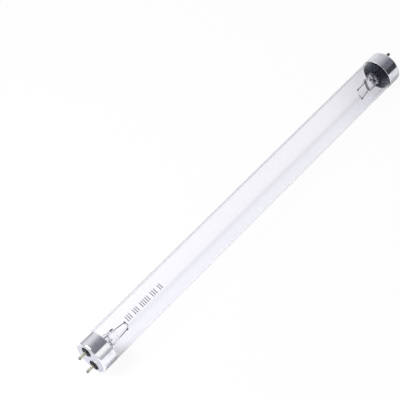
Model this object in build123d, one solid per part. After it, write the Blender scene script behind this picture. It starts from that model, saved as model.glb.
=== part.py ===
"""Clear germicidal discharge lamp: a straight glass tube with a two-pin cap at each end.

The lamp's axis is X, with the origin at the middle of the lamp. Each end is built in a frame of its own:
X runs from the cap's face into the lamp, Y points at the upper pin and Z is square to the pins' plane.
The right end is mirrored from that frame, so that all four pins lie in one plane.
"""
import os
from math import asin, cos, pi, radians, sin, tan

from build123d import *

# Glass tube
FACE_TO_FACE = 330.0  # between the flat faces of the two caps
TUBE_DIAMETER = 25.5
TUBE_WALL = 0.8
NECK_START = 1.0  # the tube starts to narrow this far outside the cap's rim
NECK_RUN = 2.4
END_ROUND = 2.5
SEAL_DEPTH = 6.0  # cap's face to the end of the glass
SEAL_RIM = 1.1  # flat ring on the tube's end, between its round and the stem

# Cap
CAP_LENGTH = 12.6
CAP_STEP = 0.2  # the shell stands this far proud of the glass
CAP_SHEET = 0.3
CAP_SHOULDER = 1.8
WINDOW_DIAMETER = 8.0
CEMENT_THICKNESS = 0.55
CEMENT_RECESS = 0.8
CEMENT_SPILL = 1.2  # end of the glass to the inner end of the cement

# Insulator and pins
INSULATOR_THICKNESS = 1.6
INSULATOR_PLAY = 0.1
PIN_PLANE_LEAN = 10.0  # degrees from upright
PIN_SPACING = 12.7
PIN_DIAMETER = 2.35
PIN_REACH = 7.1  # beyond the cap's face
PIN_TIP_FLAT = 0.55
PIN_TIP_WALL = 0.8
PIN_CRIMP = 1.6
PIN_SHANK_STEP = 0.5
PIN_HEAD_STEP = 0.8
PIN_HEAD_THICKNESS = 0.6

# Stem
STEM_LENGTH = 13.4  # end of the glass to the start of the flat press
STEM_WALL = 0.8
FLARE_LENGTH = 7.0
STEM_BEND = 16.0
MOUNT_LEAN = 4.8  # degrees, from the lamp's axis towards the lower pin
PINCH_LENGTH = 4.9
PINCH_ROOF = 0.8  # the stem's hollow ends this far short of the press
PRESS_LENGTH = 5.8
PRESS_COVER = 0.55  # glass over the exhaust bore
PRESS_CORNER = 1.5
EXHAUST_BORE = 2.0
EXHAUST_WALL = 0.8
EXHAUST_TIP_ROOM = 1.8  # insulator to the tipped-off end
EXHAUST_HOLE = 1.2
EXHAUST_DEPTH = 0.9  # the exhaust bore ends this far inside the press

# Leads
LEAD_DIAMETER = 0.6
LEAD_SPACING = 8.0
LEAD_ROOM = 0.4  # lead to the stem's inner wall
LEAD_PLAY_IN_PIN = 0.4
LEAD_STRAIGHT = 0.8  # straight length beyond a pin's head and beyond the press
LEAD_BEND = 2.0
LEAD_REACH = 9.0  # press to the filament
CLAMP_LENGTH = 1.4
CLAMP_WIDTH = 1.0
CLAMP_DEPTH = 1.2
CLAMP_EDGE = 0.25
LEFT_UPPER_TIP = 3.2  # stem's axis to the clamp, in the pins' plane
LEFT_LOWER_TIP = 2.8
RIGHT_UPPER_TIP = 4.5
RIGHT_LOWER_TIP = 4.6

# Filaments
LEG_DIAMETER = 0.3
LEG_TAIL = 0.5
COIL_DIAMETER = 1.2
COIL_WIRE = 0.26
COIL_PITCH = 0.8
COIL_BOW = 1.4
COIL_GAP = 0.35  # clamp to the first turn
POINTS_PER_TURN = 8

# Mercury bead
BEAD_DIAMETER = 1.4
BEAD_PLACE = 1.3  # from the round of the tube's left end, behind the filament
BEAD_SINK = 0.06

# Radii and half widths
tube_r = TUBE_DIAMETER / 2
bore_r = tube_r - TUBE_WALL
cap_r = tube_r + CAP_STEP
cap_inner_r = cap_r - CAP_SHEET
neck_r = cap_inner_r - CEMENT_THICKNESS
neck_bore_r = neck_r - TUBE_WALL
end_flat_r = neck_r - END_ROUND
seal_r = end_flat_r - SEAL_RIM
pin_r = PIN_DIAMETER / 2
pin_offset = PIN_SPACING / 2
shank_r = pin_r + PIN_SHANK_STEP
head_r = shank_r + PIN_HEAD_STEP
lead_r = LEAD_DIAMETER / 2
lead_offset = LEAD_SPACING / 2
stem_inner_r = lead_offset + lead_r + LEAD_ROOM
stem_r = stem_inner_r + STEM_WALL
exhaust_inner_r = EXHAUST_BORE / 2
exhaust_r = exhaust_inner_r + EXHAUST_WALL
press_half = exhaust_inner_r + PRESS_COVER

# Depths from the cap's face into the lamp
neck_out = CAP_LENGTH + NECK_START
neck_in = neck_out - NECK_RUN
end_round_in = SEAL_DEPTH + END_ROUND
insulator_back = CAP_SHEET + INSULATOR_THICKNESS
head_back = insulator_back + PIN_HEAD_THICKNESS
crimp_start = PIN_TIP_WALL - PIN_REACH
crimp_end = crimp_start + PIN_CRIMP
exhaust_tip = insulator_back + EXHAUST_TIP_ROOM
flare_end = SEAL_DEPTH + FLARE_LENGTH
press_start = SEAL_DEPTH + STEM_LENGTH
press_end = press_start + PRESS_LENGTH
pinch_start = press_start - PINCH_LENGTH
roof = press_start - PINCH_ROOF
exhaust_end = press_start + EXHAUST_DEPTH
filament_at = press_end + LEAD_REACH

mount_lean = radians(MOUNT_LEAN)
bend_end = flare_end + STEM_BEND * mount_lean
bend_centre = (flare_end, -STEM_BEND, 0)
mount = Pos(bend_centre) * Rot(0, 0, -MOUNT_LEAN) * Pos(-bend_end, STEM_BEND, 0)

lean = radians(PIN_PLANE_LEAN)
left_end = Plane(origin=(-FACE_TO_FACE / 2, 0, 0), x_dir=(1, 0, 0), z_dir=(0, -cos(lean), sin(lean)))


def chain(*points):
    """Straight edges from each point to the next."""
    return [Line(start, end) for start, end in zip(points, points[1:])]


def ogee(start, end):
    """Two tangent arcs from one level to another."""
    middle = ((start[0] + end[0]) / 2, (start[1] + end[1]) / 2)
    first = TangentArc(start, middle, tangent=(1, 0))
    return [first, TangentArc(middle, end, tangent=first % 1)]


def turned(edges):
    """Solid turned about the lamp's axis from one half of its section."""
    return revolve(make_face(edges), axis=Axis.X)


def rod(r, start, end, offset=0.0):
    """Round bar along the lamp's axis, or beside it in the pins' plane."""
    return Pos((start + end) / 2, offset, 0) * Rot(0, 90, 0) * Cylinder(r, end - start)


def neck_outline(inset):
    """One end of the tube in section, from the flat on its end to its full diameter, set in by a wall."""
    neck = neck_r - inset
    full = tube_r - inset
    return [
        RadiusArc((SEAL_DEPTH + inset, end_flat_r), (end_round_in, neck), END_ROUND - inset),
        *chain((end_round_in, neck), (neck_in, neck)),
        *ogee((neck_in, neck), (neck_out, full)),
    ]


def glass_tube():
    """Tube, necked in under each cap and turned in at its ends to the ring that the stem is sealed into."""
    middle = FACE_TO_FACE / 2
    seal_back = SEAL_DEPTH + TUBE_WALL
    half = [
        *chain((middle, tube_r), (neck_out, tube_r)),
        *neck_outline(0),
        *chain((SEAL_DEPTH, end_flat_r), (SEAL_DEPTH, seal_r), (seal_back, seal_r)),
        *chain((seal_back, seal_r), (seal_back, end_flat_r)),
        *neck_outline(TUBE_WALL),
        *chain((neck_out, bore_r), (middle, bore_r), (middle, tube_r)),
    ]
    left_half = Pos(-middle, 0, 0) * turned(half)
    return left_half + mirror(left_half, about=Plane.YZ)


def mercury_bead():
    """Drop that lies on the bottom of the tube's left neck, flat where it touches the glass."""
    height = BEAD_DIAMETER / 2 - BEAD_SINK - neck_bore_r
    drop = Pos(end_round_in + BEAD_PLACE - FACE_TO_FACE / 2, 0, height) * Sphere(BEAD_DIAMETER / 2)
    return drop & rod(neck_bore_r, -FACE_TO_FACE / 2, 0)


def cup(r, start, shoulder):
    """Solid plug with a rounded shoulder, from a depth to the cap's rim."""
    flat = r - shoulder
    return turned([
        *chain((start, 0), (start, flat)),
        RadiusArc((start, flat), (start + shoulder, r), shoulder),
        *chain((start + shoulder, r), (CAP_LENGTH, r), (CAP_LENGTH, 0), (start, 0)),
    ])


def cap_shell():
    """Drawn sheet cup, open towards the tube, with a round window for each pin."""
    shell = cup(cap_r, 0, CAP_SHOULDER) - cup(cap_inner_r, CAP_SHEET, CAP_SHOULDER - CAP_SHEET)
    for side in (1, -1):
        shell -= rod(WINDOW_DIAMETER / 2, 0, CAP_SHEET, side * pin_offset)
    return shell


def insulator():
    """Disc against the inside of the cap's face, with a hole for the shank of each pin."""
    disc = cup(cap_inner_r - INSULATOR_PLAY, CAP_SHEET, CAP_SHOULDER - CAP_SHEET)
    disc &= rod(cap_r, CAP_SHEET, insulator_back)
    for side in (1, -1):
        disc -= rod(shank_r, CAP_SHEET, insulator_back, side * pin_offset)
    return disc


def pin(side):
    """Hollow pin: rounded tip, shank in the insulator, head behind it and a crimp for the lead."""
    tip_flat_r = PIN_TIP_FLAT / 2
    tip_round = pin_r - tip_flat_r
    hollow_r = lead_r + LEAD_PLAY_IN_PIN
    outside = [
        *chain((-PIN_REACH, 0), (-PIN_REACH, tip_flat_r)),
        RadiusArc((-PIN_REACH, tip_flat_r), (tip_round - PIN_REACH, pin_r), tip_round),
        *chain((tip_round - PIN_REACH, pin_r), (CAP_SHEET, pin_r), (CAP_SHEET, shank_r)),
        *chain((CAP_SHEET, shank_r), (insulator_back, shank_r), (insulator_back, head_r)),
        *chain((insulator_back, head_r), (head_back, head_r)),
    ]
    inside = [
        *chain((head_back, head_r), (head_back, hollow_r), (crimp_end, hollow_r), (crimp_end, lead_r)),
        *chain((crimp_end, lead_r), (crimp_start, lead_r), (crimp_start, 0), (-PIN_REACH, 0)),
    ]
    return Pos(0, side * pin_offset, 0) * turned(outside + inside)


def cap_cement():
    """Ring of cement between the neck of the tube and the shell, spilt a little round the tube's end."""
    spill_end = SEAL_DEPTH + CEMENT_SPILL
    ring = rod(cap_inner_r, spill_end, CAP_LENGTH - CEMENT_RECESS)
    filled_tube = turned([
        *chain((SEAL_DEPTH, 0), (SEAL_DEPTH, end_flat_r)),
        *neck_outline(0),
        *chain((neck_out, tube_r), (neck_out, 0), (SEAL_DEPTH, 0)),
    ])
    return ring - filled_tube


def flared(r, seal_end):
    """Solid flare, a quarter ellipse from the seal at the tube's end, and the bend of the stem after it."""
    flare = EllipticalCenterArc(
        (flare_end, seal_r), flare_end - seal_end, seal_r - r, start_angle=180, arc_size=90
    )
    trumpet = turned([
        *chain((flare_end, 0), (SEAL_DEPTH, 0), (SEAL_DEPTH, seal_r)),
        *(chain((SEAL_DEPTH, seal_r), (seal_end, seal_r)) if seal_end > SEAL_DEPTH else []),
        flare,
        *chain((flare_end, r), (flare_end, 0)),
    ])
    section = Pos(flare_end, 0, 0) * Rot(0, 90, 0) * Circle(r)
    return trumpet + revolve(section, axis=Axis(bend_centre, (0, 0, -1)), revolution_arc=MOUNT_LEAN)


def pinch(top, half):
    """The two wedges that the jaws press into the stem, one each side, down to a half thickness."""
    jaw = make_face([
        *ogee((pinch_start, top), (press_start, half)),
        *chain((press_start, half), (press_end, half), (press_end, top), (pinch_start, top)),
    ])
    upper = extrude(Plane.XZ * jaw, amount=seal_r, both=True)
    return upper + mirror(upper, about=Plane.XY)


def stem(leads):
    """Stem sealed to the tube's end, hollow to the flat press that holds the leads and the exhaust tube."""
    press = rod(stem_r, bend_end, press_end) - pinch(stem_r + STEM_WALL, press_half)
    corners = press.faces().sort_by(Axis.X)[-1].edges().filter_by(GeomType.CIRCLE)
    press = fillet(corners, PRESS_CORNER)
    hollow = rod(stem_inner_r, bend_end, roof) - pinch(stem_r, press_half - STEM_WALL)
    exhaust = rod(exhaust_r, exhaust_tip, press_start)
    tip_edge = exhaust.edges().group_by(Axis.X)[0]
    exhaust = fillet(tip_edge, exhaust_inner_r)
    side_hole = Cylinder(EXHAUST_HOLE / 2, 2 * press_half)
    bore = rod(exhaust_inner_r, exhaust_tip + EXHAUST_WALL, exhaust_end)
    bore += Pos(exhaust_end - EXHAUST_HOLE / 2, 0, press_half) * side_hole
    glass = flared(stem_r, SEAL_DEPTH + TUBE_WALL) + mount * press
    glass -= flared(stem_inner_r, SEAL_DEPTH) + mount * hollow
    glass = glass + mount * exhaust - mount * bore
    for lead_wire in leads:
        glass -= lead_wire
    return glass


def lead(side, tip):
    """Wire from the tip of its pin, through the press, to the clamp folded round the filament's leg."""
    turn = (STEM_BEND + side * lead_offset) * tan(mount_lean / 2)
    route = [
        Pos(crimp_start, side * pin_offset, 0),
        Pos(head_back + LEAD_STRAIGHT, side * pin_offset, 0),
        Pos(SEAL_DEPTH + FLARE_LENGTH / 2, side * lead_offset, 0),
        Pos(flare_end + turn, side * lead_offset, 0),
        mount * Pos(press_end + LEAD_STRAIGHT, side * lead_offset, 0),
        mount * Pos(filament_at - LEG_DIAMETER, side * tip, 0),
    ]
    path = FilletPolyline(*(place.position for place in route), radius=LEAD_BEND)
    wire = sweep(Plane(origin=path @ 0, z_dir=path % 0) * Circle(lead_r), path=path)
    clamp = Box(CLAMP_LENGTH, CLAMP_WIDTH, CLAMP_DEPTH)
    clamp = fillet(clamp.edges(), CLAMP_EDGE)
    leg_hole = Rot(90, 0, 0) * Cylinder(LEG_DIAMETER / 2, CLAMP_WIDTH)
    place = mount * Pos(filament_at, side * tip, 0)
    return wire + place * clamp - place * leg_hole


def filament(upper_tip, lower_tip):
    """Coil of wire bowed towards the middle of the lamp, with a straight leg through each clamp."""
    setback = CLAMP_WIDTH / 2 + COIL_GAP
    chord = upper_tip + lower_tip - 2 * setback
    centre = (upper_tip - lower_tip) / 2
    bow_r = (chord**2 / 4 + COIL_BOW**2) / (2 * COIL_BOW)
    half_angle = asin(chord / 2 / bow_r)
    turns = round(2 * half_angle * bow_r / COIL_PITCH)
    coil_r = (COIL_DIAMETER - COIL_WIRE) / 2
    steps = turns * POINTS_PER_TURN
    points = []
    for step in range(steps + 1):
        along = half_angle * (1 - 2 * step / steps)
        turn_r = coil_r * min(1, 2 * step / POINTS_PER_TURN, 2 * (steps - step) / POINTS_PER_TURN)
        phase = 2 * pi * step / POINTS_PER_TURN
        reach = bow_r + turn_r * cos(phase)
        depth = reach * cos(along) - bow_r * cos(half_angle)
        points.append((depth, reach * sin(along), turn_r * sin(phase)))
    path = Spline(*points)
    coil = sweep(Plane(origin=path @ 0, z_dir=path % 0) * Circle(COIL_WIRE / 2), path=path)
    leg_length = setback + CLAMP_WIDTH / 2 + LEG_TAIL + COIL_WIRE / 2
    leg = Rot(90, 0, 0) * Cylinder(LEG_DIAMETER / 2, leg_length)
    leg_place = chord / 2 + leg_length / 2 - COIL_WIRE / 2
    wire = coil + Pos(0, leg_place, 0) * leg + Pos(0, -leg_place, 0) * leg
    return mount * Pos(filament_at, centre, 0) * wire


def end_pieces(upper_tip, lower_tip):
    """Every piece of one end, in the end's own frame."""
    upper_lead = lead(1, upper_tip)
    lower_lead = lead(-1, lower_tip)
    return {
        "cap_shell": cap_shell(),
        "insulator": insulator(),
        "upper_pin": pin(1),
        "lower_pin": pin(-1),
        "cap_cement": cap_cement(),
        "stem": stem([upper_lead, lower_lead]),
        "upper_lead": upper_lead,
        "lower_lead": lower_lead,
        "filament": filament(upper_tip, lower_tip),
    }


def lamp():
    """Every piece of the lamp by name."""
    pieces = {"glass_tube": glass_tube(), "mercury_bead": mercury_bead()}
    for name, shape in end_pieces(LEFT_UPPER_TIP, LEFT_LOWER_TIP).items():
        pieces["left_" + name] = left_end.location * shape
    for name, shape in end_pieces(RIGHT_UPPER_TIP, RIGHT_LOWER_TIP).items():
        pieces["right_" + name] = mirror(left_end.location * shape, about=Plane.YZ)
    return pieces


os.makedirs("parts", exist_ok=True)
for node, piece in lamp().items():
    export_step(piece, f"parts/{node}.step")
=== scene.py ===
"""Looks of a clear germicidal discharge tube with an aluminium two-pin cap at each end.

The lamp lies along X with its middle at the origin. Sizes held in the classes are in millimetres and
are turned into metres where a mesh is made; those of the studio and the camera are in metres. A depth
runs from the flat face of a cap into the lamp, and a reach is the distance along the axis from the
lamp's middle, as a finish reads it at either end.
"""
import logging
import math
from dataclasses import dataclass
from enum import Enum
from typing import Any, Optional, Sequence

import bpy
from mathutils import Matrix, Vector


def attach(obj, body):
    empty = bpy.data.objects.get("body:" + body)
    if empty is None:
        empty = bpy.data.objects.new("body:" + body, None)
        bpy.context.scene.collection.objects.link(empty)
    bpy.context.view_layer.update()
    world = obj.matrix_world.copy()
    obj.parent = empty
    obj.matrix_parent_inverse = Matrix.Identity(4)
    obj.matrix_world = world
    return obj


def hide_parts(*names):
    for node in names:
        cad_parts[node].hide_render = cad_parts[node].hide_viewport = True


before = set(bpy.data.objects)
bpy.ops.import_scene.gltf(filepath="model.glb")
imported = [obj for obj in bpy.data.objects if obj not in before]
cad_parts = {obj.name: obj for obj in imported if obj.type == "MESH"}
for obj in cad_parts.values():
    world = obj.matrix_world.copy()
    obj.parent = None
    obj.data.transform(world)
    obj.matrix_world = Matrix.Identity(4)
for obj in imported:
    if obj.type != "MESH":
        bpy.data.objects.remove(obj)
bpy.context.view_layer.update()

LOG = logging.getLogger("lamp")
MM = 0.001
FACE_TO_FACE = 330.0
PIN_LEAN = math.radians(10.0)
UP = Vector((0.0, math.sin(PIN_LEAN), math.cos(PIN_LEAN)))
WELD = 0.001  # points of a mesh closer than this are one
GLASS_EDGE = 40.0  # faces that meet at more than this many degrees stay sharp
METAL_EDGE = 35.0
FACTOR, FIRST, SECOND, MIXED = 0, 6, 7, 2  # inputs and output of a Mix node that mixes colours
Point = tuple[float, float]
Triple = tuple[float, float, float]


class End(Enum):
    """The lamp's two ends, by the sign of X."""

    LEFT = -1
    RIGHT = 1

    def node(self, piece: str) -> str:
        """Name of one of this end's pieces."""
        return f"{self.name.lower()}_{piece}"

    def x(self, depth: float) -> float:
        """Place along the lamp of a depth from this end's cap face, in millimetres."""
        return self.value * (FACE_TO_FACE / 2 - depth)


class PinSide(Enum):
    """The two pins of an end, by the side of the lamp's axis."""

    UPPER = 1
    LOWER = -1

    def node(self, end: End) -> str:
        """Name of this pin at one end."""
        return end.node(f"{self.name.lower()}_pin")


def linear(code: str) -> tuple[float, float, float, float]:
    """Turn an sRGB hex colour into linear light.

    Args:
        code: six hex digits after a hash sign.

    Returns:
        Red, green, blue and an alpha of one.
    """
    parts = [int(code[start:start + 2], 16) / 255 for start in (1, 3, 5)]
    red, green, blue = (p / 12.92 if p <= 0.04045 else ((p + 0.055) / 1.055) ** 2.4 for p in parts)
    return red, green, blue, 1.0


def add_node(
    tree: bpy.types.NodeTree,
    kind: str,
    inputs: Optional[dict[Any, Any]] = None,
    stops: Sequence[tuple[float, str]] = (),
    **settings: Any,
) -> bpy.types.Node:
    """Add a node with its settings, its input values and its links.

    Args:
        tree: node tree that gets the node.
        kind: Blender's name for the node type.
        inputs: values, or output sockets to link, by input name or number.
        stops: places and hex colours of a ramp, first and last included.
        settings: properties of the node by name.

    Returns:
        The new node.
    """
    node = tree.nodes.new(kind)
    for name, value in settings.items():
        setattr(node, name, value)
    for key, value in (inputs or {}).items():
        if isinstance(value, bpy.types.NodeSocket):
            tree.links.new(value, node.inputs[key])
        else:
            node.inputs[key].default_value = value
    if stops:
        elements = node.color_ramp.elements
        for place, _ in stops[1:-1]:
            elements.new(place)
        elements[-1].position = stops[-1][0]
        elements[0].position = stops[0][0]
        for element, (_, code) in zip(elements, stops):
            element.color = linear(code)
    return node


def arc(centre: Point, r: float, start: float, end: float, count: int) -> list[Point]:
    """Points of an arc in section.

    Args:
        centre: place along the lamp and radius from its axis.
        r: radius of the arc.
        start: first angle in degrees, from the direction along the lamp.
        end: last angle in degrees.
        count: number of points.

    Returns:
        The points from start to end, both included.
    """
    angles = [math.radians(start + (end - start) * step / (count - 1)) for step in range(count)]
    return [(centre[0] + r * math.cos(a), centre[1] + r * math.sin(a)) for a in angles]


def ogee(start: Point, end: Point, count: int) -> list[Point]:
    """Points of a soft S from one level to another.

    Args:
        start: first point in section.
        end: last point in section.
        count: number of points.

    Returns:
        The points from start to end, both included.
    """
    points = []
    for step in range(count):
        share = step / (count - 1)
        rise = (1 - math.cos(math.pi * share)) / 2
        points.append((start[0] + (end[0] - start[0]) * share, start[1] + (end[1] - start[1]) * rise))
    return points


def lathe(name: str, outline: Sequence[Point], steps: int, offset: float = 0.0) -> bpy.types.Object:
    """Extrude an outline point by point and spin it round the lamp's axis, or round a line beside it.

    Args:
        name: name of the piece.
        outline: place along the lamp and radius of each point, in millimetres.
        steps: number of faces round the axis.
        offset: distance of the spin axis from the lamp's axis, towards the upper pin.

    Returns:
        The piece, its object at the origin.
    """
    bpy.ops.object.select_all(action="DESELECT")
    bpy.ops.mesh.primitive_plane_add(size=MM)
    piece = bpy.context.object
    piece.name = name
    piece.data.name = name
    axis = UP * offset * MM
    bpy.ops.object.mode_set(mode="EDIT")
    bpy.ops.mesh.select_all(action="SELECT")
    bpy.ops.mesh.merge(type="CENTER")
    place = [Vector((x * MM, 0.0, 0.0)) + axis + UP * r * MM for x, r in outline]
    bpy.ops.transform.translate(value=place[0])
    for last, this in zip(place, place[1:]):
        bpy.ops.mesh.extrude_vertices_move(TRANSFORM_OT_translate={"value": this - last})
    bpy.ops.mesh.select_all(action="SELECT")
    bpy.ops.mesh.spin(steps=steps, angle=2 * math.pi, center=axis, axis=(1.0, 0.0, 0.0))
    bpy.ops.mesh.select_all(action="SELECT")
    bpy.ops.mesh.remove_doubles(threshold=WELD * MM)
    bpy.ops.mesh.normals_make_consistent(inside=False)
    bpy.ops.object.mode_set(mode="OBJECT")
    return piece


def copied(piece: bpy.types.Object, name: str, move: Vector, mirrored: bool) -> bpy.types.Object:
    """Copy a piece with its own mesh, moved or mirrored to the lamp's other end.

    Args:
        piece: piece to copy.
        name: name of the copy.
        move: shift of the copy's mesh in metres.
        mirrored: whether the copy is mirrored across the middle of the lamp.

    Returns:
        The copy, its object at the origin.
    """
    bpy.ops.object.select_all(action="DESELECT")
    bpy.context.view_layer.objects.active = piece
    piece.select_set(True)
    bpy.ops.object.duplicate(linked=False)
    twin = bpy.context.object
    twin.name = name
    twin.data.name = name
    bpy.ops.object.mode_set(mode="EDIT")
    bpy.ops.mesh.select_all(action="SELECT")
    if move.length > 0:
        bpy.ops.transform.translate(value=move)
    if mirrored:
        bpy.ops.transform.resize(value=(-1.0, 1.0, 1.0), center_override=(0.0, 0.0, 0.0))
        bpy.ops.mesh.normals_make_consistent(inside=False)
    bpy.ops.object.mode_set(mode="OBJECT")
    return twin


def smooth(piece: bpy.types.Object, degrees: float) -> None:
    """Shade a piece smooth, except where its faces meet at more than an angle.

    Args:
        piece: piece to shade.
        degrees: that angle.
    """
    bpy.ops.object.select_all(action="DESELECT")
    bpy.context.view_layer.objects.active = piece
    piece.select_set(True)
    bpy.ops.object.shade_smooth_by_angle(angle=math.radians(degrees))


def apply_modifier(piece: bpy.types.Object, kind: str, **settings: Any) -> None:
    """Add a modifier to a piece and apply it.

    Args:
        piece: piece to change.
        kind: Blender's name for the modifier type.
        settings: properties of the modifier by name.
    """
    bpy.ops.object.select_all(action="DESELECT")
    bpy.context.view_layer.objects.active = piece
    piece.select_set(True)
    modifier = piece.modifiers.new(kind.lower(), kind)
    for name, value in settings.items():
        setattr(modifier, name, value)
    bpy.ops.object.modifier_apply(modifier=modifier.name)


def dress(piece: bpy.types.Object, material: bpy.types.Material) -> None:
    """Give a piece one material all over.

    Args:
        piece: new piece or solid of the frame.
        material: material that it gets.
    """
    if piece.data.materials:
        for index in range(len(piece.data.materials)):
            piece.data.materials[index] = material
    else:
        piece.data.materials.append(material)


def place_piece(piece: bpy.types.Object, node: str) -> None:
    """Let a new piece stand for a solid of the frame, and report it.

    Args:
        piece: the new piece.
        node: solid that it stands for, or an empty name for an added detail.
    """
    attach(piece, "root")
    if node:
        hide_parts(node)
    faces = len(piece.data.polygons)
    LOG.info("piece %s: %d faces, stands for %s", piece.name, faces, node or "no solid")


@dataclass(frozen=True)
class Finish:
    """A surface: what it is made of and how it was made."""

    name: str

    def start(self) -> tuple[bpy.types.Material, bpy.types.NodeTree, bpy.types.Node]:
        """Make an empty material with its output.

        Returns:
            The material, its node tree and its output node.
        """
        material = bpy.data.materials.new(self.name)
        material.use_nodes = True
        tree = material.node_tree
        tree.nodes.clear()
        return material, tree, add_node(tree, "ShaderNodeOutputMaterial")

    def build(self) -> bpy.types.Material:
        """Make the material; each finish gives its own."""
        raise NotImplementedError

    def material(self) -> bpy.types.Material:
        """Material of this finish, made at its first use."""
        return bpy.data.materials.get(self.name) or self.build()


@dataclass(frozen=True)
class DrawnGlass(Finish):
    """Clear drawn glass: invisible but for its edges, with faint streaks along the draw.

    The upper edge carries a grey line painted on edge-on glass, a painted reflection, and the glass is
    painted a little greyer towards the right end, a painted shade. Its shadow is faint, and darker at
    the rims, where light has more glass to cross. A span of slopes runs from faces seen square on, at
    nothing, to faces seen edge on, at one.
    """

    tint: str = "#FEFEFF"
    # painted shade: the glass is painted greyer from the first reach to the second, towards the right
    # end
    painted_far_shade: str = "#F2F2F4"
    painted_far_shade_from: float = 90.0
    painted_far_shade_to: float = 150.0
    # painted reflection: the next five fields paint a grey line on edge-on glass, on the upper side
    # only
    painted_edge_shade: str = "#BDBDC3"
    rim_slopes: Point = (0.6, 0.77)
    rim_side: Triple = (0.0, 0.77, 0.64)
    rim_from: float = -3.0
    rim_to: float = 4.0
    shade: str = "#FDFDFE"
    rim_shade: str = "#C2C1C7"
    shade_slopes: Point = (0.5, 0.9)
    gleam: str = "#AAB6D4"
    index: float = 1.46
    streak_width: float = 2.6
    streak_stretch: float = 0.02
    streak_depth: float = 0.004
    streak_detail: float = 1.0
    ripple: float = 0.35

    def build(self) -> bpy.types.Material:
        """Make the glass.

        Returns:
            The material.
        """
        material, tree, output = self.start()
        place = add_node(tree, "ShaderNodeTexCoord")
        along = add_node(
            tree,
            "ShaderNodeMapping",
            {"Vector": place.outputs["Object"], "Scale": (self.streak_stretch, 1.0, 1.0)},
        )
        streaks = add_node(
            tree,
            "ShaderNodeTexNoise",
            {
                "Vector": along.outputs[0],
                "Scale": 1 / (self.streak_width * MM),
                "Detail": self.streak_detail,
            },
        )
        bump = add_node(
            tree,
            "ShaderNodeBump",
            {"Height": streaks.outputs[0], "Strength": self.ripple, "Distance": self.streak_depth * MM},
        )
        axes = add_node(tree, "ShaderNodeSeparateXYZ", {0: place.outputs["Object"]})
        # painted shade: greyer glass towards the right end
        greyed = add_node(
            tree,
            "ShaderNodeMapRange",
            {
                "Value": axes.outputs["X"],
                "From Min": self.painted_far_shade_from * MM,
                "From Max": self.painted_far_shade_to * MM,
            },
            interpolation_type="SMOOTHSTEP",
        )
        body = add_node(
            tree,
            "ShaderNodeMix",
            {FACTOR: greyed.outputs[0], FIRST: linear(self.tint), SECOND: linear(self.painted_far_shade)},
            data_type="RGBA",
        )
        facing = add_node(tree, "ShaderNodeLayerWeight")
        rims = []
        for low, high in (self.rim_slopes, self.shade_slopes):
            rims.append(
                add_node(
                    tree,
                    "ShaderNodeMapRange",
                    {"Value": facing.outputs["Facing"], "From Min": low, "From Max": high},
                )
            )
        level = add_node(
            tree,
            "ShaderNodeVectorMath",
            {0: place.outputs["Object"], 1: self.rim_side},
            operation="DOT_PRODUCT",
        )
        upper = add_node(
            tree,
            "ShaderNodeMapRange",
            {
                "Value": level.outputs["Value"],
                "From Min": self.rim_from * MM,
                "From Max": self.rim_to * MM,
            },
        )
        # painted reflection: grey painted on edge-on glass, on the upper side only
        line = add_node(
            tree, "ShaderNodeMath", {0: rims[0].outputs[0], 1: upper.outputs[0]}, operation="MULTIPLY"
        )
        edged = add_node(
            tree,
            "ShaderNodeMix",
            {FACTOR: line.outputs[0], FIRST: body.outputs[MIXED], SECOND: linear(self.painted_edge_shade)},
            data_type="RGBA",
        )
        shaded = add_node(
            tree,
            "ShaderNodeMix",
            {FACTOR: rims[1].outputs[0], FIRST: linear(self.shade), SECOND: linear(self.rim_shade)},
            data_type="RGBA",
        )
        glass = add_node(
            tree,
            "ShaderNodeBsdfPrincipled",
            {
                "Base Color": edged.outputs[MIXED],
                "Roughness": 0.0,
                "IOR": self.index,
                "Specular Tint": linear(self.gleam),
                "Transmission Weight": 1.0,
                "Normal": bump.outputs[0],
            },
        )
        clear = add_node(tree, "ShaderNodeBsdfTransparent", {"Color": shaded.outputs[MIXED]})
        rays = add_node(tree, "ShaderNodeLightPath")
        mixed = glass
        for ray in ("Is Shadow Ray", "Is Diffuse Ray"):
            mixed = add_node(
                tree,
                "ShaderNodeMixShader",
                {0: rays.outputs[ray], 1: mixed.outputs[0], 2: clear.outputs[0]},
            )
        tree.links.new(mixed.outputs[0], output.inputs["Surface"])
        return material


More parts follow.
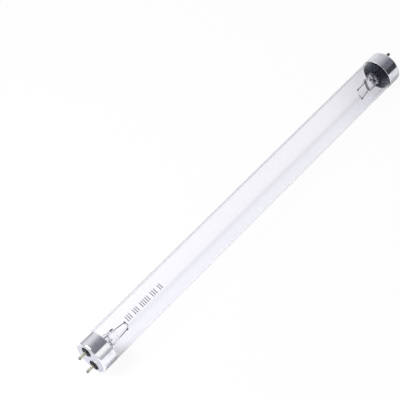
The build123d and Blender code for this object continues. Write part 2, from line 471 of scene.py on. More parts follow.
@dataclass(frozen=True)
class DrawnAluminium(Finish):
    """Deep-drawn aluminium sheet: a mirror with fine draw lines along the cup.

    The stamped face and the cut rim are duller, and the wall inside is painted near black, partly a
    cement stain and partly painted shade of the cup's hollow. Real draw lines are too fine to show, so
    they are drawn as coarse as they need to.
    """

    base: str = "#F9FAFA"
    rubbed: str = "#E4E5E9"
    stamped: str = "#D5D7DD"
    # partly a cement stain, partly painted shade of the cup's dark hollow
    stained_and_shaded: str = "#1A1C22"
    inside_radius: float = 12.8
    inside_reach: float = 163.1
    face_from: float = 164.5
    face_to: float = 164.95
    rim_from: float = 152.75
    rim_to: float = 152.55
    roughness: float = 0.11
    dulling: float = 0.34
    line_width: float = 0.35
    line_stretch: float = 0.04
    line_depth: float = 0.02
    line_strength: float = 0.12
    line_detail: float = 3.0
    patch: float = 5.0
    patch_detail: float = 4.0
    rubbed_noise: Point = (0.52, 0.75)
    gloss_noise: Point = (0.3, 0.8)
    gloss_shares: Point = (0.75, 1.6)

    def build(self) -> bpy.types.Material:
        """Make the aluminium.

        Returns:
            The material.
        """
        material, tree, output = self.start()
        place = add_node(tree, "ShaderNodeTexCoord")
        along = add_node(
            tree,
            "ShaderNodeMapping",
            {"Vector": place.outputs["Object"], "Scale": (self.line_stretch, 1.0, 1.0)},
        )
        lines = add_node(
            tree,
            "ShaderNodeTexNoise",
            {
                "Vector": along.outputs[0],
                "Scale": 1 / (self.line_width * MM),
                "Detail": self.line_detail,
            },
        )
        patches = add_node(
            tree,
            "ShaderNodeTexNoise",
            {
                "Vector": place.outputs["Object"],
                "Scale": 1 / (self.patch * MM),
                "Detail": self.patch_detail,
            },
        )
        worn = add_node(
            tree,
            "ShaderNodeMapRange",
            {
                "Value": patches.outputs[0],
                "From Min": self.rubbed_noise[0],
                "From Max": self.rubbed_noise[1],
            },
        )
        tone = add_node(
            tree,
            "ShaderNodeMix",
            {FACTOR: worn.outputs[0], FIRST: linear(self.base), SECOND: linear(self.rubbed)},
            data_type="RGBA",
        )
        axes = add_node(tree, "ShaderNodeSeparateXYZ", {0: place.outputs["Object"]})
        reach = add_node(tree, "ShaderNodeMath", {0: axes.outputs["X"]}, operation="ABSOLUTE")
        face = add_node(
            tree,
            "ShaderNodeMapRange",
            {"Value": reach.outputs[0], "From Min": self.face_from * MM, "From Max": self.face_to * MM},
        )
        struck = add_node(
            tree,
            "ShaderNodeMix",
            {FACTOR: face.outputs[0], FIRST: tone.outputs[MIXED], SECOND: linear(self.stamped)},
            data_type="RGBA",
        )
        across = add_node(
            tree, "ShaderNodeMapping", {"Vector": place.outputs["Object"], "Scale": (0.0, 1.0, 1.0)}
        )
        radius = add_node(tree, "ShaderNodeVectorMath", {0: across.outputs[0]}, operation="LENGTH")
        near = add_node(
            tree,
            "ShaderNodeMath",
            {0: radius.outputs["Value"], 1: self.inside_radius * MM},
            operation="LESS_THAN",
        )
        deep = add_node(
            tree,
            "ShaderNodeMath",
            {0: reach.outputs[0], 1: self.inside_reach * MM},
            operation="LESS_THAN",
        )
        # painted shade inside the cup, partly a cement stain
        inside = add_node(
            tree, "ShaderNodeMath", {0: near.outputs[0], 1: deep.outputs[0]}, operation="MULTIPLY"
        )
        coloured = add_node(
            tree,
            "ShaderNodeMix",
            {FACTOR: inside.outputs[0], FIRST: struck.outputs[MIXED], SECOND: linear(self.stained_and_shaded)},
            data_type="RGBA",
        )
        gloss = add_node(
            tree,
            "ShaderNodeMapRange",
            {
                "Value": patches.outputs[0],
                "From Min": self.gloss_noise[0],
                "From Max": self.gloss_noise[1],
                "To Min": self.roughness * self.gloss_shares[0],
                "To Max": self.roughness * self.gloss_shares[1],
            },
        )
        rim = add_node(
            tree,
            "ShaderNodeMapRange",
            {"Value": reach.outputs[0], "From Min": self.rim_from * MM, "From Max": self.rim_to * MM},
        )
        worked = add_node(
            tree, "ShaderNodeMath", {0: face.outputs[0], 1: rim.outputs[0]}, operation="MAXIMUM"
        )
        duller = add_node(
            tree,
            "ShaderNodeMath",
            {0: worked.outputs[0], 1: self.dulling, 2: gloss.outputs[0]},
            operation="MULTIPLY_ADD",
        )
        bump = add_node(
            tree,
            "ShaderNodeBump",
            {
                "Height": lines.outputs[0],
                "Strength": self.line_strength,
                "Distance": self.line_depth * MM,
            },
        )
        metal = add_node(
            tree,
            "ShaderNodeBsdfPrincipled",
            {
                "Base Color": coloured.outputs[MIXED],
                "Metallic": 1.0,
                "Roughness": duller.outputs[0],
                "Normal": bump.outputs[0],
            },
        )
        tree.links.new(metal.outputs[0], output.inputs["Surface"])
        return material


@dataclass(frozen=True)
class PlatedBrass(Finish):
    """Turned brass with a thin tin plate: pale olive, with stains in spots.

    The soldered tip is grey, and the root and all of the pin inside the cap are painted dark: painted
    shade.
    """

    base: str = "#E6E4D2"
    dull: str = "#D0CDB8"
    solder: str = "#8B8983"
    # painted shade: the root and all of the pin inside the cap are painted dark
    painted_root_shade: str = "#1E1B18"
    tip_from: float = 170.6
    tip_to: float = 171.6
    root_from: float = 165.2
    root_to: float = 166.3
    stain: float = 1.1
    stain_depth: float = 0.05
    stain_strength: float = 0.2
    stain_detail: float = 4.0
    gloss_noise: Point = (0.3, 0.7)
    roughness: Point = (0.38, 0.52)

    def build(self) -> bpy.types.Material:
        """Make the plated brass.

        Returns:
            The material.
        """
        material, tree, output = self.start()
        place = add_node(tree, "ShaderNodeTexCoord")
        axes = add_node(tree, "ShaderNodeSeparateXYZ", {0: place.outputs["Object"]})
        reach = add_node(tree, "ShaderNodeMath", {0: axes.outputs["X"]}, operation="ABSOLUTE")
        tip = add_node(
            tree,
            "ShaderNodeMapRange",
            {"Value": reach.outputs[0], "From Min": self.tip_from * MM, "From Max": self.tip_to * MM},
        )
        stains = add_node(
            tree,
            "ShaderNodeTexNoise",
            {
                "Vector": place.outputs["Object"],
                "Scale": 1 / (self.stain * MM),
                "Detail": self.stain_detail,
            },
        )
        tone = add_node(
            tree,
            "ShaderNodeMix",
            {FACTOR: stains.outputs[0], FIRST: linear(self.base), SECOND: linear(self.dull)},
            data_type="RGBA",
        )
        tipped = add_node(
            tree,
            "ShaderNodeMix",
            {FACTOR: tip.outputs[0], FIRST: tone.outputs[MIXED], SECOND: linear(self.solder)},
            data_type="RGBA",
        )
        # painted shade at the root and inside the cap
        clean = add_node(
            tree,
            "ShaderNodeMapRange",
            {"Value": reach.outputs[0], "From Min": self.root_from * MM, "From Max": self.root_to * MM},
        )
        rooted = add_node(
            tree,
            "ShaderNodeMix",
            {FACTOR: clean.outputs[0], FIRST: linear(self.painted_root_shade), SECOND: tipped.outputs[MIXED]},
            data_type="RGBA",
        )
        gloss = add_node(
            tree,
            "ShaderNodeMapRange",
            {
                "Value": stains.outputs[0],
                "From Min": self.gloss_noise[0],
                "From Max": self.gloss_noise[1],
                "To Min": self.roughness[0],
                "To Max": self.roughness[1],
            },
        )
        bump = add_node(
            tree,
            "ShaderNodeBump",
            {
                "Height": stains.outputs[0],
                "Strength": self.stain_strength,
                "Distance": self.stain_depth * MM,
            },
        )
        metal = add_node(
            tree,
            "ShaderNodeBsdfPrincipled",
            {
                "Base Color": rooted.outputs[MIXED],
                "Metallic": 1.0,
                "Roughness": gloss.outputs[0],
                "Normal": bump.outputs[0],
            },
        )
        tree.links.new(metal.outputs[0], output.inputs["Surface"])
        return material


@dataclass(frozen=True)
class SpeckledSolid(Finish):
    """An opaque moulded, cast or printed solid: two close tones in grains, and a grainy skin.

    Grains finer than the eye would see here are drawn as coarse as they need to show.
    """

    base: str = "#26262A"
    other: str = "#1B1B1E"
    grain: float = 0.5
    roughness: float = 0.5
    relief: float = 0.03
    metallic: float = 0.0
    sheen: float = 0.5
    relief_strength: float = 0.3
    grain_detail: float = 5.0
    gloss_noise: Point = (0.3, 0.7)
    gloss_shares: Point = (0.85, 1.15)

    def colour(
        self, tree: bpy.types.NodeTree, place: bpy.types.Node, grains: bpy.types.Node
    ) -> bpy.types.NodeSocket:
        """Mix the two tones by the grains.

        Args:
            tree: node tree of the material.
            place: texture coordinates, not used here.
            grains: noise of the grains.

        Returns:
            The socket with the colour.
        """
        tone = add_node(
            tree,
            "ShaderNodeMix",
            {FACTOR: grains.outputs[0], FIRST: linear(self.base), SECOND: linear(self.other)},
            data_type="RGBA",
        )
        return tone.outputs[MIXED]

    def build(self) -> bpy.types.Material:
        """Make the solid's material.

        Returns:
            The material.
        """
        material, tree, output = self.start()
        place = add_node(tree, "ShaderNodeTexCoord")
        grains = add_node(
            tree,
            "ShaderNodeTexNoise",
            {
                "Vector": place.outputs["Object"],
                "Scale": 1 / (self.grain * MM),
                "Detail": self.grain_detail,
            },
        )
        gloss = add_node(
            tree,
            "ShaderNodeMapRange",
            {
                "Value": grains.outputs[0],
                "From Min": self.gloss_noise[0],
                "From Max": self.gloss_noise[1],
                "To Min": self.roughness * self.gloss_shares[0],
                "To Max": self.roughness * self.gloss_shares[1],
            },
        )
        bump = add_node(
            tree,
            "ShaderNodeBump",
            {
                "Height": grains.outputs[0],
                "Strength": self.relief_strength,
                "Distance": self.relief * MM,
            },
        )
        solid = add_node(
            tree,
            "ShaderNodeBsdfPrincipled",
            {
                "Base Color": self.colour(tree, place, grains),
                "Metallic": self.metallic,
                "Specular IOR Level": self.sheen,
                "Roughness": gloss.outputs[0],
                "Normal": bump.outputs[0],
            },
        )
        tree.links.new(solid.outputs[0], output.inputs["Surface"])
        return material


@dataclass(frozen=True)
class SealedWire(SpeckledSolid):
    """Wire that is sealed into glass: dulled by heat on its free length, and painted white inside the
    seal, a painted highlight for the glare of the pressed glass around it.
    """

    # painted highlight: the wire inside the seal is painted white
    bright: str = "#E6E6EA"
    seal_middle: float = 142.7
    seal_half: float = 3.0
    seal_fade: float = 1.0

    def colour(
        self, tree: bpy.types.NodeTree, place: bpy.types.Node, grains: bpy.types.Node
    ) -> bpy.types.NodeSocket:
        """Mix the dulled tones with the painted highlight by the place along the lamp.

        Args:
            tree: node tree of the material.
            place: texture coordinates.
            grains: noise of the grains.

        Returns:
            The socket with the colour.
        """
        dulled = super().colour(tree, place, grains)
        axes = add_node(tree, "ShaderNodeSeparateXYZ", {0: place.outputs["Object"]})
        reach = add_node(tree, "ShaderNodeMath", {0: axes.outputs["X"]}, operation="ABSOLUTE")
        past = add_node(
            tree,
            "ShaderNodeMath",
            {0: reach.outputs[0], 1: self.seal_middle * MM},
            operation="SUBTRACT",
        )
        away = add_node(tree, "ShaderNodeMath", {0: past.outputs[0]}, operation="ABSOLUTE")
        sealed = add_node(
            tree,
            "ShaderNodeMapRange",
            {
                "Value": away.outputs[0],
                "From Min": (self.seal_half + self.seal_fade) * MM,
                "From Max": self.seal_half * MM,
            },
        )
        # painted highlight inside the seal
        tone = add_node(
            tree,
            "ShaderNodeMix",
            {FACTOR: sealed.outputs[0], FIRST: dulled, SECOND: linear(self.bright)},
            data_type="RGBA",
        )
        return tone.outputs[MIXED]


@dataclass(frozen=True)
class Palette:
    """Every finish on the lamp."""

    # Soft glass, drawn into tube: clear and colourless, seen by its edges, the upper one with a painted
    # grey line, and one long reflection.
    tube: Finish = DrawnGlass("clear_drawn_glass")
    # Lead glass, melted and pressed: clear, wavy, full of small glints.
    stem: Finish = DrawnGlass(
        "pressed_stem_glass",
        tint="#F8F8FA",
        painted_far_shade="#F8F8FA",
        # painted reflection: grey painted on the stem's edge-on glass
        painted_edge_shade="#D8D9DE",
        gleam="#FFFFFF",
        index=1.53,
        streak_width=2.4,
        streak_stretch=0.7,
        streak_depth=0.4,
        ripple=0.7,
    )
    # Aluminium, deep-drawn and polished: bright bands and dark ones, with a satin end face.
    shell: Finish = DrawnAluminium("polished_drawn_aluminium")
    # Brass, turned and tin-plated: pale olive and half matt.
    pin: Finish = PlatedBrass("tin_plated_brass")
    # The right pins are the same plated brass painted dark grey: painted shade.
    dark_pin: Finish = PlatedBrass(
        "painted_shade_plated_brass", base="#8E8D8E", dull="#787779", solder="#A3A2A2"
    )
    # Moulded phenolic: near black, a little gloss, a fine mould grain.
    disc: Finish = SpeckledSolid(
        "moulded_black_phenolic",
        base="#161619",
        other="#0C0C0E",
        grain=0.4,
        roughness=0.5,
        relief=0.02,
        sheen=0.15,
    )
    # Cured basing cement: near-black resin with mineral filler, matt and gritty.
    cement: Finish = SpeckledSolid(
        "cured_basing_cement",
        base="#0F1014",
        other="#08090B",
        grain=0.7,
        roughness=0.85,
        relief=0.08,
        sheen=0.08,
    )
    # Nickel wire, drawn and heat-dulled: mid-grey metal with soft highlights, painted white inside the
    # glass, a painted highlight.
    wire: Finish = SealedWire(
        "heat_dulled_nickel_wire",
        base="#77757A",
        other="#55545A",
        grain=0.6,
        roughness=0.34,
        relief=0.01,
        metallic=1.0,
    )
    # Tungsten coil dipped in emitter oxides: chalky white, with the grey wire showing in spots.
    coil: Finish = SpeckledSolid(
        "oxide_coated_tungsten", base="#E2E1DE", other="#B9B7B5", grain=0.3, roughness=0.8, relief=0.03
    )
    # Liquid mercury: a smooth silver mirror.
    mercury: Finish = SpeckledSolid(
        "liquid_mercury",
        base="#D5D6DA",
        other="#C9CBD0",
        grain=2.0,
        roughness=0.05,
        relief=0.0,
        metallic=1.0,
    )
    # Fired grey ink: matt, thin, a little patchy.
    ink: Finish = SpeckledSolid(
        "fired_grey_ink", base="#8B8A91", other="#A3A2A8", grain=0.8, roughness=0.6, relief=0.01
    )


@dataclass
class GlassEnvelope:
    """The tube: drawn glass, necked in under each cap and turned in at its ends."""

    radius: float = 12.75
    wall: float = 0.8
    neck_radius: float = 12.1
    neck_out: float = 13.6
    neck_in: float = 11.2
    end_round: float = 2.5
    seal_depth: float = 6.0
    seal_radius: float = 8.5
    faces_round: int = 256
    belts: int = 12
    curve_points: int = 9

    def end_outline(self, inset: float) -> list[Point]:
        """One end in section, from the seal to the full diameter.

        Args:
            inset: nothing for the outside, the wall for the inside.

        Returns:
            Depths from the cap's face and radii.
        """
        flat = self.neck_radius - self.end_round
        turn = self.seal_depth + self.end_round
        neck = self.neck_radius - inset
        points = [(self.seal_depth + inset, self.seal_radius)]
        points += arc((turn, flat), self.end_round - inset, 180.0, 90.0, self.curve_points)
        points += ogee((self.neck_in, neck), (self.neck_out, self.radius - inset), self.curve_points)
        return points

    def build(self) -> bpy.types.Object:
        """Spin the whole wall, outside and inside, as one closed section.

        Returns:
            The glass.
        """
        outside = self.end_outline(0.0)
        inside = self.end_outline(self.wall)
        belts = [step / self.belts for step in range(1, self.belts)]
        run = 2 * (FACE_TO_FACE / 2 - self.neck_out)
        left, right = End.LEFT, End.RIGHT
        outline = [(left.x(depth), r) for depth, r in outside]
        outline += [(left.x(self.neck_out) + run * share, self.radius) for share in belts]
        outline += [(right.x(depth), r) for depth, r in reversed(outside)]
        outline += [(right.x(depth), r) for depth, r in inside]
        outline += [(right.x(self.neck_out) - run * share, self.radius - self.wall) for share in belts]
        outline += [(left.x(depth), r) for depth, r in reversed(inside)]
        outline.append(outline[0])
        glass = lathe("drawn_glass_tube", outline, self.faces_round)
        smooth(glass, GLASS_EDGE)
        return glass


@dataclass
class TickCode:
    """Plain ticks printed on the glass, near the left cap, on the side that faces the camera.

    Each number in bars is a group of that many strokes. A stroke is a small grid that starts off the
    glass and is wrapped onto it.
    """

    start: float = 33.5
    pitch: float = 3.55
    angle: float = 123.0
    height: float = 4.6
    stroke: float = 0.75
    strokes_apart: float = 2.4
    start_radius: float = 13.5
    grid: tuple[int, int] = (2, 10)
    lift: float = 0.03
    bars: tuple[int, ...] = (2, 1, 2, 1, 2, 2, 1, 2, 1, 2)

    def build(self, glass: bpy.types.Object) -> bpy.types.Object:
        """Lay small grids round the glass and wrap them onto it.

        Args:
            glass: tube that carries the ticks.

        Returns:
            All the ticks as one piece.
        """
        bpy.ops.object.select_all(action="DESELECT")
        turn = math.radians(self.angle)
        outward = Vector((0.0, math.cos(turn), math.sin(turn)))
        ticks = []
        for index, count in enumerate(self.bars):
            for bar in range(count):
                shift = index * self.pitch + bar * self.strokes_apart * self.stroke
                x = End.LEFT.x(self.start + shift)
                bpy.ops.mesh.primitive_grid_add(
                    x_subdivisions=self.grid[0],
                    y_subdivisions=self.grid[1],
                    size=MM,
                    location=Vector((x * MM, 0.0, 0.0)) + outward * self.start_radius * MM,
                    rotation=(turn - math.pi / 2, 0.0, 0.0),
                )
                tick = bpy.context.object
                tick.scale = (self.stroke, self.height, 1.0)
                ticks.append(tick)
        for tick in ticks:
            tick.select_set(True)
        bpy.context.view_layer.objects.active = ticks[0]
        bpy.ops.object.join()
        piece = bpy.context.object
        piece.name = "printed_ticks"
        piece.data.name = "printed_ticks"
        bpy.ops.object.transform_apply(location=True, rotation=True, scale=True)
        apply_modifier(
            piece,
            "SHRINKWRAP",
            target=glass,
            wrap_method="NEAREST_SURFACEPOINT",
            wrap_mode="OUTSIDE_SURFACE",
            offset=self.lift * MM,
        )
        smooth(piece, GLASS_EDGE)
        return piece


@dataclass
class CapAssembly:
    """One end's cap: drawn shell with two windows, and a low boss and a pin in each window."""

    radius: float = 12.95
    length: float = 12.6
    sheet: float = 0.3
    shoulder: float = 1.8
    window: float = 4.0
    rim_round: float = 0.1
    edge_round: float = 0.07
    edge_angle: float = 50.0
    face_belt: float = 0.5
    wall_belts: Point = (0.35, 0.7)
    shoulder_belt: float = 0.2
    rim_belt: float = 0.35
    punch_depth: float = 1.2
    shoulder_points: int = 12
    rim_points: int = 4
    shell_faces: int = 128
    window_faces: int = 72
    pin_offset: float = 6.35
    pin_radius: float = 1.175
    pin_reach: float = 7.1
    pin_tip: float = 0.275
    shank_radius: float = 1.675
    head_radius: float = 2.475
    insulator_back: float = 1.9
    head_back: float = 2.5
    hollow_radius: float = 0.7
    lead_radius: float = 0.3
    crimp_start: float = -6.3
    crimp_end: float = -4.7
    pin_belts: int = 8
    tip_points: int = 9
    pin_faces: int = 48
    boss_radius: float = 3.75
    boss_rise: float = 0.5
    boss_round: float = 0.2
    boss_play: float = 0.05
    boss_points: int = 5
    boss_faces: int = 64

    def shell(self) -> bpy.types.Object:
        """Spin the left cup, punch its windows and round its edges.

        Returns:
            The left shell.
        """
        flat = self.radius - self.shoulder
        inner = self.radius - self.sheet
        rim = self.length - self.rim_round
        belts = [self.shoulder + self.shoulder_belt]
        belts += [self.length * share for share in self.wall_belts]
        belts.append(self.length - self.rim_belt)
        turn = (self.shoulder, flat)
        section = [(0.0, 0.0), (0.0, flat * self.face_belt)]
        section += arc(turn, self.shoulder, 180.0, 90.0, self.shoulder_points)
        section += [(depth, self.radius) for depth in belts]
        section += arc((rim, self.radius - self.rim_round), self.rim_round, 90.0, 0.0, self.rim_points)
        section += arc((rim, inner + self.rim_round), self.rim_round, 0.0, -90.0, self.rim_points)
        section += [(depth, inner) for depth in reversed(belts)]
        section += arc(turn, self.shoulder - self.sheet, 90.0, 180.0, self.shoulder_points)
        section += [(self.sheet, flat * self.face_belt), (self.sheet, 0.0)]
        outline = [(End.LEFT.x(depth), r) for depth, r in section]
        shell = lathe("left_drawn_shell", outline, self.shell_faces)
        for side in PinSide:
            bpy.ops.object.select_all(action="DESELECT")
            middle = Vector((End.LEFT.x(self.sheet / 2), 0.0, 0.0)) + UP * side.value * self.pin_offset
            bpy.ops.mesh.primitive_cylinder_add(
                vertices=self.window_faces,
                radius=self.window * MM,
                depth=self.punch_depth * MM,
                location=middle * MM,
                rotation=(0.0, math.pi / 2, 0.0),
            )
            punch = bpy.context.object
            apply_modifier(shell, "BOOLEAN", object=punch, operation="DIFFERENCE", solver="EXACT")
            bpy.data.objects.remove(punch)
        apply_modifier(
            shell,
            "BEVEL",
            width=self.edge_round * MM,
            segments=2,
            limit_method="ANGLE",
            angle_limit=math.radians(self.edge_angle),
        )
        smooth(shell, METAL_EDGE)
        return shell

    def pin(self) -> bpy.types.Object:
        """Spin the left upper pin.

        Returns:
            The left upper pin.
        """
        tip_round = self.pin_radius - self.pin_tip
        crimp = self.crimp_end - self.crimp_start
        steps = range(1, self.pin_belts + 1)
        belts = [self.crimp_start + crimp * step / self.pin_belts for step in steps]
        section = [(-self.pin_reach, 0.0)]
        turn = (tip_round - self.pin_reach, self.pin_tip)
        section += arc(turn, tip_round, 180.0, 90.0, self.tip_points)
        section += [(depth, self.pin_radius) for depth in belts]
        section += [(self.sheet, self.pin_radius), (self.sheet, self.shank_radius)]
        section += [(self.insulator_back, self.shank_radius), (self.insulator_back, self.head_radius)]
        section += [(self.head_back, self.head_radius), (self.head_back, self.hollow_radius)]
        section += [(self.crimp_end, self.hollow_radius), (self.crimp_end, self.lead_radius)]
        section += [(self.crimp_start, self.lead_radius), (self.crimp_start, 0.0)]
        outline = [(End.LEFT.x(depth), r) for depth, r in section]
        pin = lathe("left_upper_turned_pin", outline, self.pin_faces, self.pin_offset)
        smooth(pin, METAL_EDGE)
        return pin

    def boss(self) -> bpy.types.Object:
        """Spin the insulator's low boss round the left upper pin.

        Returns:
            The left upper boss.
        """
        hole = self.pin_radius + self.boss_play
        foot = self.sheet + self.boss_play
        section = [(foot, hole), (-self.boss_rise, hole)]
        corner = (self.boss_round - self.boss_rise, self.boss_radius - self.boss_round)
        section += arc(corner, self.boss_round, 180.0, 90.0, self.boss_points)
        section += [(foot, self.boss_radius), (foot, hole)]
        outline = [(End.LEFT.x(depth), r) for depth, r in section]
        boss = lathe("left_upper_boss", outline, self.boss_faces, self.pin_offset)
        smooth(boss, METAL_EDGE)
        return boss

    def at_each_pin(
        self, first: bpy.types.Object, kind: str
    ) -> dict[tuple[End, PinSide], bpy.types.Object]:
        """Copy a piece of the left upper pin to the other three pins.

        Args:
            first: the left upper piece.
            kind: last part of the copies' names.

        Returns:
            The four pieces by end and side.
        """
        drop = UP * -2 * self.pin_offset * MM
        pieces = {(End.LEFT, PinSide.UPPER): first}
        for end, side, move in (
            (End.LEFT, PinSide.LOWER, drop),
            (End.RIGHT, PinSide.UPPER, Vector()),
            (End.RIGHT, PinSide.LOWER, drop),
        ):
            name = end.node(f"{side.name.lower()}_{kind}")
            pieces[end, side] = copied(first, name, move, end is End.RIGHT)
        return pieces

    def build(self, palette: Palette) -> None:
        """Make both ends' shells, pins and bosses, and dress them.

        Args:
            palette: finishes of the lamp.
        """
        shell = self.shell()
        shells = {End.LEFT: shell, End.RIGHT: copied(shell, "right_drawn_shell", Vector(), True)}
        for end, piece in shells.items():
            dress(piece, palette.shell.material())
            place_piece(piece, end.node("cap_shell"))
        # the right pins get the darker copy of the brass: painted shade
        brass = {End.LEFT: palette.pin, End.RIGHT: palette.dark_pin}
        for (end, side), piece in self.at_each_pin(self.pin(), "turned_pin").items():
            dress(piece, brass[end].material())
            place_piece(piece, side.node(end))
        for piece in self.at_each_pin(self.boss(), "boss").values():
            dress(piece, palette.disc.material())
            place_piece(piece, "")


@dataclass
class InnerParts:
    """Solids of the frame that keep their shape and get their finish here."""

    palette: Palette

    def build(self) -> None:
        """Dress each solid by its name."""
        finishes = {
            "stem": self.palette.stem,
            "insulator": self.palette.disc,
            "cap_cement": self.palette.cement,
            "upper_lead": self.palette.wire,
            "lower_lead": self.palette.wire,
            "filament": self.palette.coil,
        }
        for end in End:
            for piece, finish in finishes.items():
                dress(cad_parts[end.node(piece)], finish.material())
                LOG.info("solid %s: %s", end.node(piece), finish.name)
        dress(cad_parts["mercury_bead"], self.palette.mercury.material())
        LOG.info("solid mercury_bead: %s", self.palette.mercury.name)


@dataclass(frozen=True)
class SoftLamp:
    """A soft lamp of the studio, pointed at the middle of the tube."""

    name: str
    place: Triple
    size: Point
    power: float

    def build(self) -> None:
        """Hang the lamp."""
        place = Vector(self.place)
        bpy.ops.object.select_all(action="DESELECT")
        bpy.ops.object.light_add(type="AREA", location=place)
        lamp = bpy.context.object
        lamp.name = self.name
        lamp.data.shape = "RECTANGLE"
        lamp.data.size, lamp.data.size_y = self.size
        lamp.data.energy = self.power
        lamp.rotation_euler = (-place).to_track_quat("-Z", "Y").to_euler()
        lamp.visible_camera = False


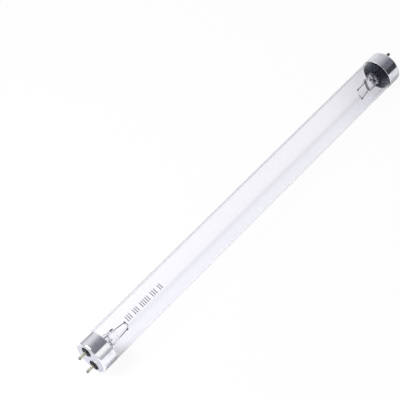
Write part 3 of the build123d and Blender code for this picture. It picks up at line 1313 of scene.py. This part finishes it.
@dataclass
class Studio:
    """Pale floor, a room that is bright behind the lamp and darker in front, and two soft lamps.

    Each half of the room is a ramp from the horizon behind, over the lamp, to the horizon in front. The
    halves meet where a direction's share along the lamp lies in the seam.
    """

    floor_level: float = -0.01295
    floor_front: float = -0.19
    floor_turn: float = 14.0
    floor_size: float = 8.0
    white: str = "#FFFFFF"
    floor_tone: str = "#EDECF1"
    white_to_camera: float = 0.93
    white_through_glass: float = 0.45
    white_in_metal: float = 0.12
    seam: Point = (0.36, 0.46)
    key: SoftLamp = SoftLamp("soft_key", (-0.45, 0.28, 0.62), (0.3, 0.22), 5.1)
    fill: SoftLamp = SoftLamp("soft_fill", (-0.45, 0.04, 0.68), (0.2, 0.2), 0.4)
    left_room: tuple[tuple[float, str], ...] = (
        (0.0, "#B8B8BE"),
        (0.055, "#AAAAB0"),
        (0.12, "#CCCCD2"),
        (0.19, "#E2E2E7"),
        (0.32, "#D5D6DB"),
        (0.39, "#B7B8C1"),
        (0.455, "#989AA3"),
        (0.52, "#8A8C95"),
        (0.68, "#797B84"),
        (0.725, "#7B7D87"),
        (0.75, "#FFFFFF"),
        (0.87, "#FFFFFF"),
        (0.925, "#CDCDD4"),
        (1.0, "#A8A8AE"),
    )
    right_room: tuple[tuple[float, str], ...] = (
        (0.0, "#ECECEF"),
        (0.06, "#E1E1E6"),
        (0.19, "#D6D6DB"),
        (0.32, "#C5C5CD"),
        (0.455, "#B3B3BD"),
        (0.52, "#A0A0AA"),
        (0.59, "#8B8B95"),
        (0.66, "#6F6F7B"),
        (0.80, "#6D6D77"),
        (0.84, "#505058"),
        (0.89, "#36363E"),
        (1.0, "#404047"),
    )

    def floor(self) -> None:
        """Lay the floor under the lamp, whiter to the camera and through glass than in metal."""
        bpy.ops.object.select_all(action="DESELECT")
        turn = math.radians(self.floor_turn)
        back = Vector((-math.sin(turn), math.cos(turn), 0.0)) * self.floor_size / 2
        middle = Vector((0.0, self.floor_front, self.floor_level)) + back
        bpy.ops.mesh.primitive_plane_add(
            size=self.floor_size, location=middle, rotation=(0.0, 0.0, turn)
        )
        floor = bpy.context.object
        floor.name = "pale_floor"
        bpy.ops.object.transform_apply(location=True, rotation=True)
        material, tree, output = Finish("pale_matt_floor").start()
        rays = add_node(tree, "ShaderNodeLightPath")
        share = add_node(
            tree,
            "ShaderNodeMath",
            {0: rays.outputs["Is Camera Ray"], 1: self.white_to_camera},
            operation="MULTIPLY",
        )
        for ray, most in (
            ("Is Transmission Ray", self.white_through_glass),
            ("Is Glossy Ray", self.white_in_metal),
        ):
            part = add_node(
                tree, "ShaderNodeMath", {0: rays.outputs[ray], 1: most}, operation="MULTIPLY"
            )
            share = add_node(
                tree, "ShaderNodeMath", {0: share.outputs[0], 1: part.outputs[0]}, operation="MAXIMUM"
            )
        matt = add_node(tree, "ShaderNodeBsdfDiffuse", {"Color": linear(self.floor_tone)})
        white = add_node(tree, "ShaderNodeEmission", {"Color": linear(self.white), "Strength": 1.0})
        mixed = add_node(
            tree, "ShaderNodeMixShader", {0: share.outputs[0], 1: matt.outputs[0], 2: white.outputs[0]}
        )
        tree.links.new(mixed.outputs[0], output.inputs["Surface"])
        dress(floor, material)

    def surroundings(self) -> None:
        """Make the room: each half goes round from behind the lamp, over it, to the front."""
        world = bpy.data.worlds.new("soft_studio")
        bpy.context.scene.world = world
        world.use_nodes = True
        tree = world.node_tree
        tree.nodes.clear()
        output = add_node(tree, "ShaderNodeOutputWorld")
        place = add_node(tree, "ShaderNodeTexCoord")
        axes = add_node(tree, "ShaderNodeSeparateXYZ", {0: place.outputs["Generated"]})
        turn = add_node(
            tree, "ShaderNodeMath", {0: axes.outputs["Z"], 1: axes.outputs["Y"]}, operation="ARCTAN2"
        )
        either = add_node(tree, "ShaderNodeMath", {0: turn.outputs[0]}, operation="ABSOLUTE")
        share = add_node(
            tree, "ShaderNodeMapRange", {"Value": either.outputs[0], "From Max": math.pi}
        )
        left = add_node(tree, "ShaderNodeValToRGB", {0: share.outputs[0]}, self.left_room)
        right = add_node(tree, "ShaderNodeValToRGB", {0: share.outputs[0]}, self.right_room)
        side = add_node(
            tree,
            "ShaderNodeMapRange",
            {"Value": axes.outputs["X"], "From Min": self.seam[0], "From Max": self.seam[1]},
        )
        room = add_node(
            tree,
            "ShaderNodeMix",
            {FACTOR: side.outputs[0], FIRST: left.outputs[0], SECOND: right.outputs[0]},
            data_type="RGBA",
        )
        rays = add_node(tree, "ShaderNodeLightPath")
        seen = add_node(
            tree,
            "ShaderNodeMath",
            {0: rays.outputs["Is Camera Ray"], 1: rays.outputs["Is Transmission Ray"]},
            operation="MAXIMUM",
        )
        shown = add_node(
            tree,
            "ShaderNodeMix",
            {FACTOR: seen.outputs[0], FIRST: room.outputs[MIXED], SECOND: linear(self.white)},
            data_type="RGBA",
        )
        light = add_node(tree, "ShaderNodeBackground", {"Color": shown.outputs[MIXED], "Strength": 1.0})
        tree.links.new(light.outputs[0], output.inputs["Surface"])

    def build(self) -> None:
        """Make the floor, the room and the lamps."""
        self.floor()
        self.surroundings()
        self.key.build()
        self.fill.build()
        LOG.info("studio: floor, room, key and fill")


@dataclass(frozen=True)
class PhotoCamera:
    """Camera at the photograph's place, angle and framing."""

    place: Triple = (-0.4326, -0.5714, 0.6707)
    yaw: float = 34.54
    pitch: float = 42.39
    roll: float = 19.13
    lens: float = 123.48
    sensor: float = 36.0
    nearest: float = 0.05

    def build(self) -> None:
        """Set the camera up and make it the scene's own."""
        yaw, pitch, roll = (math.radians(angle) for angle in (self.yaw, self.pitch, self.roll))
        ahead = Vector(
            (math.sin(yaw) * math.cos(pitch), math.cos(yaw) * math.cos(pitch), -math.sin(pitch))
        )
        level = Vector((math.cos(yaw), -math.sin(yaw), 0.0))
        below = ahead.cross(level)
        right = math.cos(roll) * level + math.sin(roll) * below
        down = math.cos(roll) * below - math.sin(roll) * level
        bpy.ops.object.select_all(action="DESELECT")
        bpy.ops.object.camera_add()
        camera = bpy.context.object
        camera.name = "photo_camera"
        turn = Matrix((right, -down, -ahead)).transposed().to_4x4()
        camera.matrix_world = Matrix.Translation(Vector(self.place)) @ turn
        camera.data.sensor_width = self.sensor
        camera.data.lens = self.lens
        camera.data.clip_start = self.nearest
        bpy.context.scene.camera = camera


def main() -> None:
    """Build the lamp, its studio and its camera in order."""
    logging.basicConfig(level=logging.INFO, format="%(message)s")
    bpy.context.scene.view_settings.view_transform = "Standard"
    palette = Palette()
    PhotoCamera().build()
    glass = GlassEnvelope().build()
    dress(glass, palette.tube.material())
    place_piece(glass, "glass_tube")
    ticks = TickCode().build(glass)
    dress(ticks, palette.ink.material())
    place_piece(ticks, "")
    CapAssembly().build(palette)
    InnerParts(palette).build()
    Studio().build()


if __name__ == "__main__":
    main()
